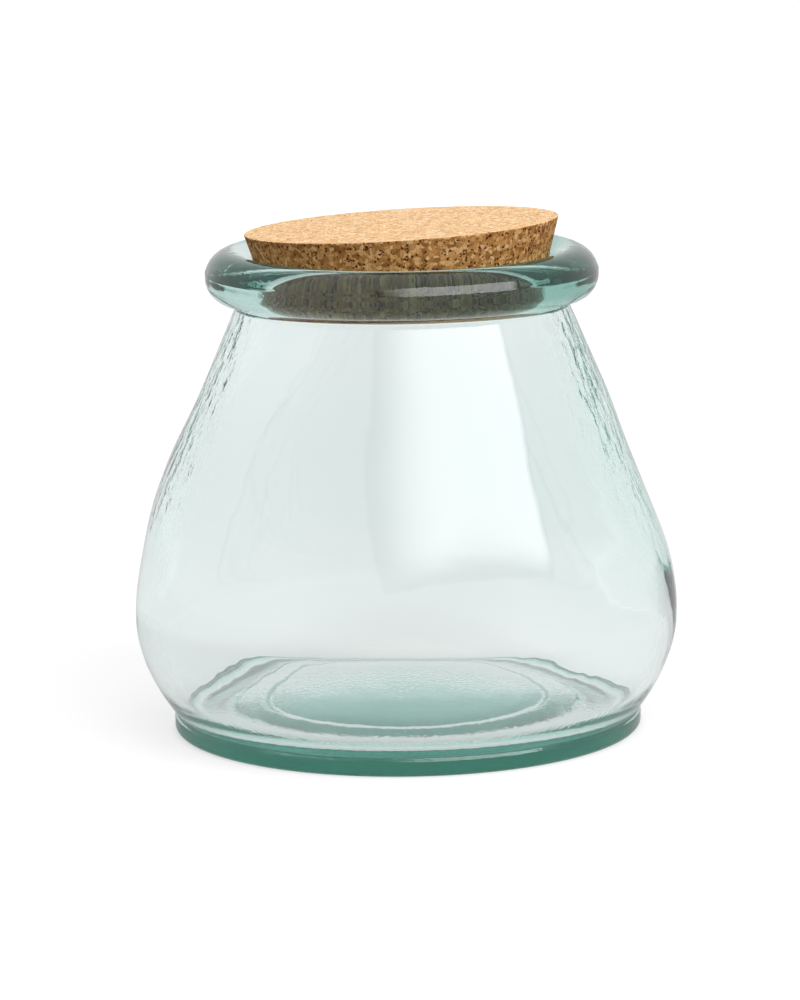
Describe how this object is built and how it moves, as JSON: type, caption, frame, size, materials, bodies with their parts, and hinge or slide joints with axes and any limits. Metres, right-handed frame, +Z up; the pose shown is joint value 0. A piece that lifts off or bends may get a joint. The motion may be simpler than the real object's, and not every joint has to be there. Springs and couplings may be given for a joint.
{
  "type": "storage jar",
  "caption": "Squat storage jar of thick pale-green recycled glass with a rolled lip and a waisted foot, closed by a tapered cork stopper that lifts out.",
  "frame": {"origin": "centre of the foot's resting plane", "axes": "+Z up along the jar's axis, -Y towards the picture's camera, +X to its right, the side on which the stopper stands high"},
  "size_m": [0.2, 0.2, 0.1882],
  "materials": {
    "glass": "fire-polished, faintly wavy pale aqua glass",
    "cork": "sanded agglomerated cork, unsealed"
  },
  "bodies": {
    "jar": {"glass_jar": "glass"},
    "stopper": {"cork_stopper": "cork"}
  },
  "joints": [
    {"name": "stopper_lift", "type": "slide", "parent": "jar", "child": "stopper", "axis": [0, 0, 1], "range_m": [0, 0.06]}
  ]
}
